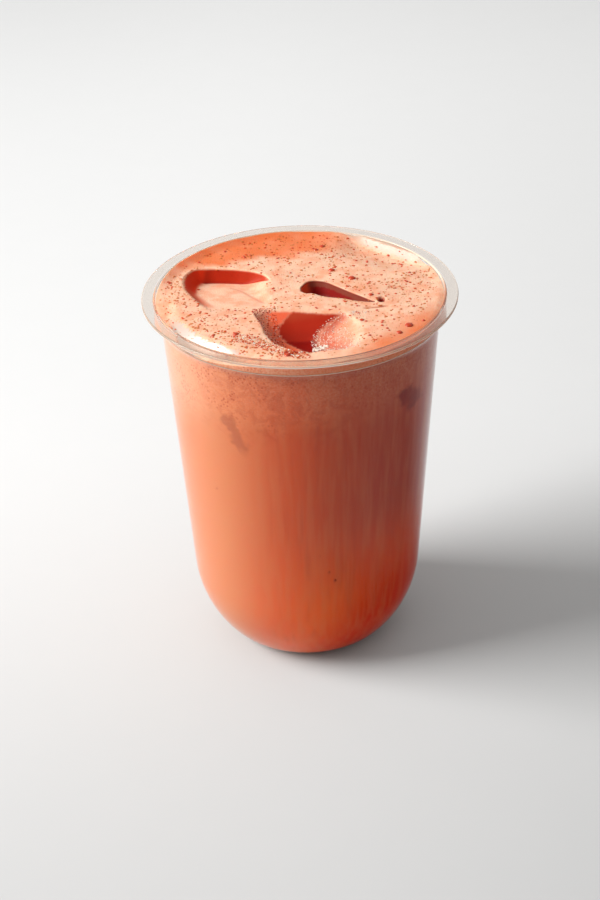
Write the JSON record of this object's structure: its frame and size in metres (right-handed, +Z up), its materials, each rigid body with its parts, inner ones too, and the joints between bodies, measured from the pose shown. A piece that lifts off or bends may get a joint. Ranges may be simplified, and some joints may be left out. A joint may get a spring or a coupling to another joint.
{
  "type": "iced fruit juice in a clear cup",
  "caption": "Clear takeaway cup with a rounded bowl, filled to the brim with mixed fruit juice under a thick foam head dented by ice.",
  "frame": {"origin": "middle of the ring that the cup stands on, at floor level", "axes": "+Z up along the cup's axis, through the open mouth; the scoop in the foam lies towards -Y"},
  "size_m": [0.095, 0.095, 0.118],
  "materials": {
    "cup": "clear, glossy",
    "juice": "cloudy liquid",
    "foam": "moist, finely bubbled"
  },
  "bodies": {
    "root": {"cup": "cup", "juice": "juice", "foam": "foam"}
  },
  "joints": []
}
